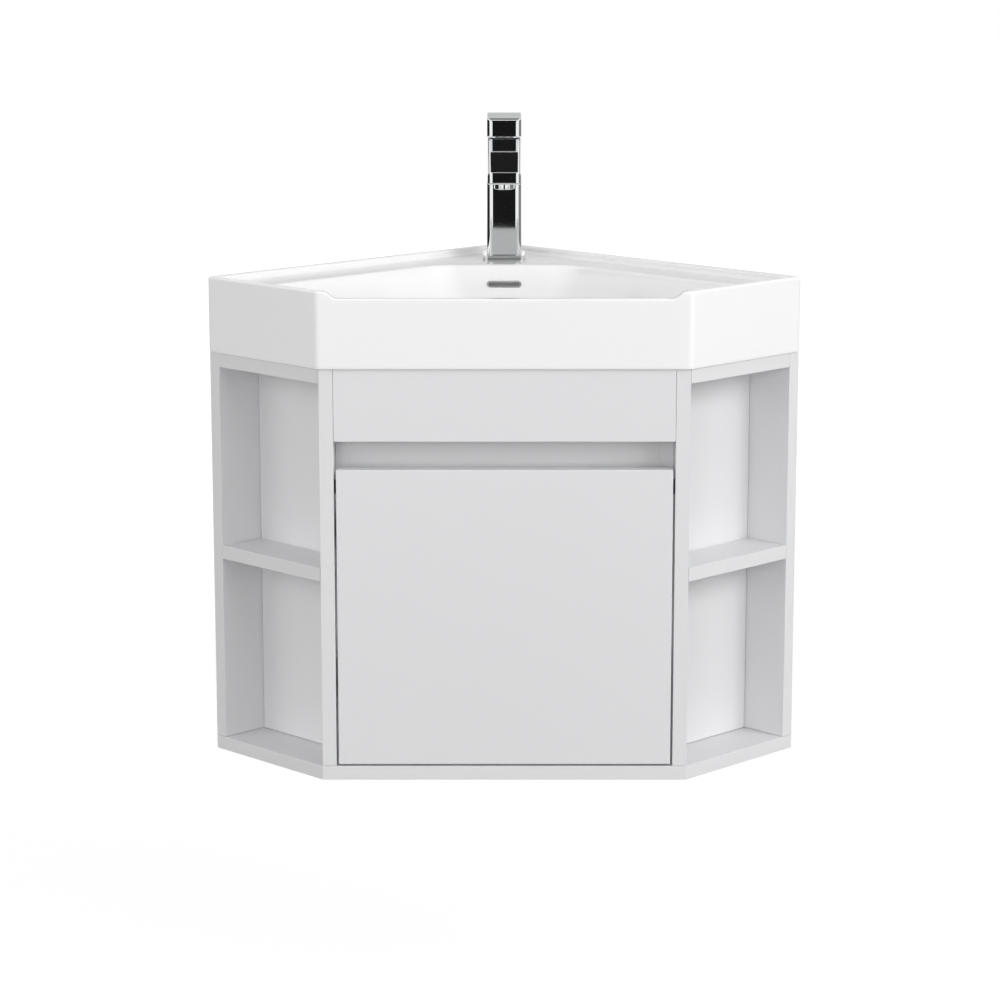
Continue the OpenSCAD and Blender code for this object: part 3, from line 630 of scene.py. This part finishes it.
# Millimetres. Sizes of the tap, and the largest radius among the ease of its edges.
TAP_HALF, COLUMN_TOP, COLUMN_BASE = 21, 688.5, 548.8
AERATOR_Y, OUTLET_Z = -197, 642.3
LARGEST_EDGE = 8
# How much narrower the spout gets over its reach
SPOUT_REACH, SPOUT_TAPER = 100, 0.05


def eased_block(outline, half, rims, cross):
    """A side outline (y forwards from the tap's middle, z) given a width. rims are the radii of
    its two outer edges along each side of the outline, cross those of the edges at its corners."""
    bm = side_prism([(TAP_Y - y, z) for y, z in outline], half)
    weight = bm.edges.layers.float.new("bevel_weight_edge")
    corners = [Vector((0, TAP_Y - y, z)) * MM for y, z in outline]

    def corner_of(v):
        return min(range(len(corners)),
                   key=lambda i: (Vector((0, v.co.y, v.co.z)) - corners[i]).length)

    for e in bm.edges:
        i, j = (corner_of(v) for v in e.verts)
        if i == j:
            e[weight] = cross[i] / LARGEST_EDGE
        else:
            e[weight] = rims[i if (i + 1) % len(corners) == j else j] / LARGEST_EDGE
    shape = bpy.data.objects.new("eased_block", as_mesh("eased_block", bm))
    bpy.context.scene.collection.objects.link(shape)
    rounding = shape.modifiers.new("rounding", "BEVEL")
    rounding.limit_method = "WEIGHT"
    rounding.width = LARGEST_EDGE * MM
    rounding.segments = 8
    rounding.use_clamp_overlap = False
    made = bpy.data.meshes.new_from_object(
        shape.evaluated_get(bpy.context.evaluated_depsgraph_get()))
    bpy.data.objects.remove(shape)
    return made


def make_tap():
    body = eased_block(
        [(-TAP_HALF, COLUMN_BASE), (-TAP_HALF, COLUMN_TOP), (TAP_HALF, COLUMN_TOP),
         (121, COLUMN_TOP - 31.9), (121, OUTLET_Z), (25, COLUMN_TOP - 48.6),
         (TAP_HALF, COLUMN_TOP - 52.6), (TAP_HALF, COLUMN_BASE)],
        TAP_HALF, [8, 1, 8, 7, 2.5, 4, 8, 0.3], [0.3, 0.8, 0, 1.2, 2.2, 0.3, 0.3, 0.3])
    for v in body.vertices:
        reach_share = max((TAP_Y - TAP_HALF) * MM - v.co.y, 0) / (SPOUT_REACH * MM)
        v.co.x *= 1 - SPOUT_TAPER * reach_share
    shank = rod(16.5, 531, COLUMN_BASE + 1, 0, TAP_Y)
    chamber = rod(17.5, COLUMN_TOP - 47.5, COLUMN_TOP + 5, 0, TAP_Y, 96)
    outlet = rod(12.2, OUTLET_Z - 6, OUTLET_Z + 7.7, 0, AERATOR_Y, 96)
    inlets_and_stud = [rod(r, 525, 543, x, TAP_Y + y, 32)
                       for x, y, r in ((-8.5, 6, 4.5), (8.5, 6, 4.5), (0, -9, 4.1))]
    body = combine(body, "UNION", shank)
    body = combine(body, "DIFFERENCE", chamber, outlet, *inlets_and_stud)
    make_piece("tap_column_and_spout", as_bmesh(body), "tap_body", smooth_below=40)

    lever_z = COLUMN_TOP + 1.5
    lever = eased_block(
        [(-TAP_HALF, lever_z + 8), (-TAP_HALF, lever_z + 26), (TAP_HALF, lever_z + 21),
         (TAP_HALF, lever_z), (2, lever_z)],
        TAP_HALF, [7.5, 2.2, 7.5, 0.6, 0.6], [0.6, 1.6, 3.6, 0.6, 0.6])
    stem_hole = block((-4.1, TAP_Y - 4.1, lever_z - 2), (4.1, TAP_Y + 4.1, lever_z + 15.1))
    screw_hole = bmesh.new()
    screw_middle = Matrix.Translation(Vector((0, TAP_Y + 15, lever_z + 14)) * MM)
    bmesh.ops.create_cone(screw_hole, cap_ends=True, segments=32, radius1=2.6 * MM,
                          radius2=2.6 * MM, depth=30 * MM,
                          matrix=screw_middle @ Matrix.Rotation(math.pi / 2, 4, "X"))
    lever = combine(lever, "DIFFERENCE", stem_hole, screw_hole)
    make_piece("tap_lever_block", as_bmesh(lever), "tap_lever", smooth_below=40)

    plate_half = 25.5
    plate = block((-plate_half, TAP_Y - plate_half, LEDGE_Z),
                  (plate_half, TAP_Y + plate_half, COLUMN_BASE))
    uprights = [e for e in plate.edges if abs(e.verts[0].co.z - e.verts[1].co.z) > 3 * MM]
    bevel(plate, uprights, 6 * MM, 8)
    bevel(plate, [e for e in crisp_edges(plate, 0.1 * MM, 50)
                  if min(v.co.z for v in e.verts) > (COLUMN_BASE - 1) * MM], 1.2 * MM, 4)
    shank_hole = rod(16.6, 535, 560, 0, TAP_Y)
    seal_groove = rod(22.2, 535, LEDGE_Z + 1.6, 0, TAP_Y)
    mesh = combine(as_mesh("foot_plate", plate), "DIFFERENCE", shank_hole, seal_groove)
    make_piece("tap_foot_plate", as_bmesh(mesh), "tap_base_plate", smooth_below=40)


make_tap()


# ------------------------------------------------------------------ waste and small fittings

def turned(profile, x, y, steps=96):
    """A lathe shape about an upright axis: profile is (radius, z), from axis to axis or round."""
    bm = bmesh.new()
    verts = [bm.verts.new(Vector((x + r, y, z)) * MM) for r, z in profile]
    edges = [bm.edges.new(pair) for pair in zip(verts, verts[1:])]
    bmesh.ops.spin(bm, geom=verts + edges, cent=Vector((x, y, 0)) * MM, axis=(0, 0, 1),
                   angle=2 * math.pi, steps=steps, use_merge=True, use_duplicate=False)
    bmesh.ops.remove_doubles(bm, verts=bm.verts, dist=0.001 * MM)
    bmesh.ops.recalc_face_normals(bm, faces=bm.faces)
    return bm


def make_waste():
    low = FLOOR_Z + 3.3
    make_piece("waste_plug_cap", turned(
        [(0, 392), (3.4, 392), (4, 392.6), (4, low), (29.4, low), (30, low + 0.6), (30, low + 2.2),
         (29.6, low + 3), (28.4, low + 3.5), (24, low + 3.8), (12, low + 4), (0, low + 4)],
        0, WASTE_Y), "waste_plug", smooth_below=40)


def make_aerator():
    z, top = OUTLET_Z - 6.3, OUTLET_Z + 7.2
    ring = turned([(9, top), (9, z + 0.8), (9.4, z + 0.2), (9.9, z), (11.2, z), (11.7, z + 0.2),
                   (12, z + 0.8), (12, top), (9, top)], 0, AERATOR_Y)
    make_piece("aerator_ring", ring, "tap_aerator", smooth_below=50)


make_waste()
make_aerator()

# Millimetres. Places of the screw heads, and the hinges' heights, as in the part's source.
FRONT_BOARD_Y = -463.86
HINGE_HEIGHTS = (110.2, 278.4)
# Share by which each further wing of a driver's tip is shallower, so that no two end level
WING_STEP = 0.04
BASE_SCREWS = [(s * 195.65, FRONT_BOARD_Y + back, 0) for s in (-1, 1) for back in (24, 200)] + [
    (s * (464 - inset) / ROOT2, -(480 - inset) / ROOT2, 0) for s in (-1, 1) for inset in (24, 170)]
PLATE_SCREWS = [(-184.65, FRONT_BOARD_Y + 38, z + s * 16) for z in HINGE_HEIGHTS for s in (-1, 1)]
CUP_SCREWS = [(-153.3, FRONT_BOARD_Y + 18, z + s * 22.5) for z in HINGE_HEIGHTS for s in (-1, 1)]


def driver_wing(angle, length, width, depth):
    """One wing of a driver's tip, turned by angle, that points along -Z from the head's face."""
    bm = bmesh.new()
    bmesh.ops.create_cube(bm, size=1)
    bmesh.ops.scale(bm, vec=Vector((length, width, 2 * depth)) * MM, verts=bm.verts)
    bmesh.ops.scale(bm, vec=(0.55, 0.8, 1), verts=[v for v in bm.verts if v.co.z < 0])
    bmesh.ops.rotate(bm, verts=bm.verts, matrix=Matrix.Rotation(angle, 3, "Z"))
    return bm


def make_screws(node, heads, outwards, length=4.6, width=0.9, depth=1.1, wings=2, arris=0.25):
    """Screws with eased heads and a recess for the driver in each."""
    bm = merged_copy(node)
    bevel(bm, crisp_edges(bm, 0.2 * MM, 50), arris * MM, 2)
    mesh = as_mesh(node, bm)
    turn = Vector(outwards).to_track_quat("Z", "Y").to_matrix().to_4x4()
    for head in heads:
        for k in range(wings):
            wing = driver_wing(math.pi * k / wings, length, width, depth * (1 - WING_STEP * k))
            wing.transform(Matrix.Translation(Vector(head) * MM) @ turn)
            mesh = combine(mesh, "DIFFERENCE", wing)
    bm = as_bmesh(mesh)
    bmesh.ops.remove_doubles(bm, verts=bm.verts, dist=WELD)
    bmesh.ops.recalc_face_normals(bm, faces=bm.faces)
    make_piece("driven_" + node, bm, node, smooth_below=40, even_shading=False)


# Node, its heads, the way they face, and length, width and depth of the driver's recess
make_screws("base_screws", BASE_SCREWS, (0, 0, -1), 6.2, 1.2, 1.8)
make_screws("plate_screws", PLATE_SCREWS, (1, 0, 0), 4.4, 0.9, 0.9)
make_screws("cup_screws", CUP_SCREWS, (0, 1, 0), 4.4, 0.9, 0.5)
make_screws("lever_screw", [(0, TAP_Y + 18.1, COLUMN_TOP + 15.5)], (0, 1, 0), 2.6, 1.5, 2,
            wings=3, arris=0.2)

# Millimetres. Arris of the small fittings, and the length above which an edge gets one.
FITTINGS = (
    ("left_door_buffer", 0.5, 1), ("right_door_stop", 0.5, 1),
    ("upper_mounting_plate", 0.3, 1), ("lower_mounting_plate", 0.3, 1),
    ("upper_hinge_arm", 0.3, 1), ("lower_hinge_arm", 0.3, 1),
    ("upper_hinge_cup", 0.25, 0.8), ("lower_hinge_cup", 0.25, 0.8),
    ("waste_backnut", 0.8, 1), ("tap_nut", 0.5, 0.5),
    ("waste_body", 0.4, 1), ("tap_clamp_plate", 0.3, 1),
)
for fitting, arris, least in FITTINGS:
    softened(fitting, arris * MM, least * MM, 2)


# ------------------------------------------------------------------ studio

# The floor and the cards that lie just above it. Tones are shares of white, and each fade is
# the two distances from the room corner between which a tone changes.
FLOOR_LEVEL, FLOOR_HALF = -0.30, 14
FLOOR_PAINT, FLOOR_GLOW, FLOOR_FADE = 0.16, 0.892, (1.2, 3.5)
CARD_LEVEL, CARD_NEAR, CARD_FAR = -0.29, 1.6, 6
CARD_TONE, CARD_FAR_TONE, CARD_FADE = 0.1, 0.65, (2.4, 4.2)
# Height of the highest cards, and how far behind the room corner the back ones stand
CEILING, BACK = 3.3, 3


def make_lamp(name, place, aim, width, height, power):
    data = bpy.data.lights.new(name, "AREA")
    data.shape = "RECTANGLE"
    data.size = width
    data.size_y = height
    data.energy = power
    lamp = bpy.data.objects.new(name, data)
    bpy.context.scene.collection.objects.link(lamp)
    lamp.location = place
    lamp.rotation_euler = (Vector(aim) - Vector(place)).to_track_quat("-Z", "Y").to_euler()
    lamp.visible_glossy = lamp.visible_camera = False


def stage_object(name, bm):
    """An object of the studio, and the empty node tree of its own material."""
    mesh = as_mesh(name, bm)
    made = bpy.data.objects.new(name, mesh)
    bpy.context.scene.collection.objects.link(made)
    material = bpy.data.materials.new(name)
    material.use_nodes = True
    material.node_tree.nodes.clear()
    mesh.materials.append(material)
    return made, material.node_tree


def fade(tree, distances, tone, far_tone):
    """A level that goes from tone to far_tone between two distances from the room corner."""
    place = tree.nodes.new("ShaderNodeTexCoord")
    away = tree.nodes.new("ShaderNodeVectorMath")
    away.operation = "LENGTH"
    level = tree.nodes.new("ShaderNodeMapRange")
    for label, value in zip(("From Min", "From Max", "To Min", "To Max"),
                            (*distances, tone, far_tone)):
        level.inputs[label].default_value = value
    tree.links.new(place.outputs["Object"], away.inputs[0])
    tree.links.new(away.outputs["Value"], level.inputs["Value"])
    return level.outputs["Result"]


def make_flag(name, low, high, tone, far_tone=None):
    """A matt card between two corners that only shiny surfaces see. With far_tone its tone
    changes over the distances of CARD_FADE."""
    low, high = Vector(low), Vector(high)
    middle, size = (low + high) / 2, high - low
    across = Vector((size.x, 0, 0)) if size.x else Vector((0, size.y, 0))
    up = size - across
    bm = bmesh.new()
    bmesh.ops.create_grid(bm, x_segments=1, y_segments=1, size=0.5)
    turn = Matrix((across, up, across.cross(up))).transposed().to_4x4()
    bm.transform(Matrix.Translation(middle) @ turn)
    card, tree = stage_object(name, bm)
    glow = tree.nodes.new("ShaderNodeEmission")
    glow.inputs["Strength"].default_value = tone
    if far_tone is not None:
        tree.links.new(fade(tree, CARD_FADE, tone, far_tone), glow.inputs["Strength"])
    out = tree.nodes.new("ShaderNodeOutputMaterial")
    tree.links.new(glow.outputs[0], out.inputs["Surface"])
    card.visible_camera = card.visible_diffuse = card.visible_shadow = False
    card.visible_transmission = card.visible_volume_scatter = False


def make_floor():
    """A pale floor that fades into the white background, and that is clear from below."""
    bm = bmesh.new()
    bmesh.ops.create_grid(bm, x_segments=1, y_segments=1, size=FLOOR_HALF)
    bmesh.ops.translate(bm, vec=(0, 0, FLOOR_LEVEL), verts=bm.verts)
    floor, tree = stage_object("studio_floor", bm)
    paint = tree.nodes.new("ShaderNodeBsdfDiffuse")
    paint.inputs["Color"].default_value = (FLOOR_PAINT, FLOOR_PAINT, FLOOR_PAINT, 1)
    glow = tree.nodes.new("ShaderNodeEmission")
    path = tree.nodes.new("ShaderNodeLightPath")
    seen = math_node(tree, "MAXIMUM", path.outputs["Is Camera Ray"],
                     path.outputs["Is Glossy Ray"])
    share = math_node(tree, "MULTIPLY", seen, fade(tree, FLOOR_FADE, FLOOR_GLOW, 1))
    both = tree.nodes.new("ShaderNodeAddShader")
    side = tree.nodes.new("ShaderNodeNewGeometry")
    clear = tree.nodes.new("ShaderNodeBsdfTransparent")
    either = tree.nodes.new("ShaderNodeMixShader")
    out = tree.nodes.new("ShaderNodeOutputMaterial")
    tree.links.new(share, glow.inputs["Strength"])
    tree.links.new(paint.outputs[0], both.inputs[0])
    tree.links.new(glow.outputs[0], both.inputs[1])
    tree.links.new(side.outputs["Backfacing"], either.inputs[0])
    tree.links.new(both.outputs[0], either.inputs[1])
    tree.links.new(clear.outputs[0], either.inputs[2])
    tree.links.new(either.outputs[0], out.inputs["Surface"])


def make_world(ambient):
    """White surroundings, which light matt surfaces by the share ambient only."""
    world = bpy.data.worlds.new("studio")
    bpy.context.scene.world = world
    world.use_nodes = True
    tree = world.node_tree
    back = tree.nodes["Background"]
    back.inputs["Color"].default_value = (1, 1, 1, 1)
    path = tree.nodes.new("ShaderNodeLightPath")
    seen = path.outputs["Is Camera Ray"]
    for kind in ("Is Glossy Ray", "Is Transmission Ray"):
        seen = math_node(tree, "MAXIMUM", seen, path.outputs[kind])
    level = tree.nodes.new("ShaderNodeMapRange")
    level.inputs["To Min"].default_value = ambient
    level.inputs["To Max"].default_value = 1
    tree.links.new(seen, level.inputs["Value"])
    tree.links.new(level.outputs["Result"], back.inputs["Strength"])


AIM = (0, -0.30, 0.35)
# Name, place, width, height and watts. Shiny surfaces see the white surroundings and the cards
# in place of the lamps.
LAMPS = (
    ("right_front_lamp", (2.0, -3.4, 1.9), 1.6, 2.2, 16),
    ("left_front_lamp", (-2.2, -3.2, 1.5), 1.6, 2.2, 18.7),
    ("front_left_lamp", (-0.8, -4.4, 0.8), 1.4, 1.6, 38.8),
    ("right_middle_lamp", (3.0, -2.4, 2.2), 1.6, 1.6, 47),
    ("right_lamp", (3.4, -1.3, 1.2), 2.0, 2.4, 29),
    ("left_lamp", (-3.4, -1.3, 1.2), 2.0, 2.4, 26.5),
    ("low_right_lamp", (2.6, -3.0, 0.3), 1.4, 1.0, 14.5),
    ("top_lamp", (0.3, -1.0, 2.9), 2.2, 1.6, 8),
    ("back_lamp", (0.2, 3.2, 1.5), 2.4, 1.8, 15),
)
# Name, tone and two opposite corners of the cards that stand and hang round the unit
FLAGS = (
    ("front_flag", 0.01, (-0.7, -4.6, -1.5), (0.7, -4.6, CEILING)),
    ("high_front_flag", 0.012, (-0.7, -4.6, CEILING), (0.7, -2.3, CEILING)),
    ("overhead_flag", 0.015, (-0.3, -0.6, CEILING), (0.3, BACK, CEILING)),
    ("back_flag", 0.015, (-0.3, BACK, 2.2), (0.3, BACK, CEILING)),
    ("low_back_card", 0.6, (-1.2, BACK, 1.3), (1.2, BACK, 2.2)),
    ("left_back_flag", 0.03, (-4, BACK, 1.3), (-1.2, BACK, 2)),
    ("right_back_card", 0.25, (1.2, BACK, 1.3), (4, BACK, 2)),
    ("left_flag", 0.02, (-3.8, -2.0, -1), (-3.8, BACK, 2)),
    ("right_card", 0.25, (3.8, -2.0, -1), (3.8, BACK, 2)),
)
# Name and two opposite corners in plan of the cards that lie round the middle of the floor
FLOOR_CARDS = (
    ("front_floor_card", (-CARD_FAR, -CARD_FAR), (CARD_FAR, -CARD_NEAR)),
    ("back_floor_card", (-CARD_FAR, CARD_NEAR), (CARD_FAR, CARD_FAR)),
    ("left_floor_card", (-CARD_FAR, -CARD_NEAR), (-CARD_NEAR, CARD_NEAR)),
    ("right_floor_card", (CARD_NEAR, -CARD_NEAR), (CARD_FAR, CARD_NEAR)),
)
AMBIENT = 0.35
make_world(AMBIENT)
make_floor()
for lamp_name, lamp_place, lamp_width, lamp_height, watts in LAMPS:
    make_lamp(lamp_name, lamp_place, AIM, lamp_width, lamp_height, watts)
for flag_name, flag_tone, low, high in FLAGS:
    make_flag(flag_name, low, high, flag_tone)
for flag_name, low, high in FLOOR_CARDS:
    make_flag(flag_name, (*low, CARD_LEVEL), (*high, CARD_LEVEL), CARD_TONE, CARD_FAR_TONE)

bpy.context.scene.view_settings.view_transform = "Standard"
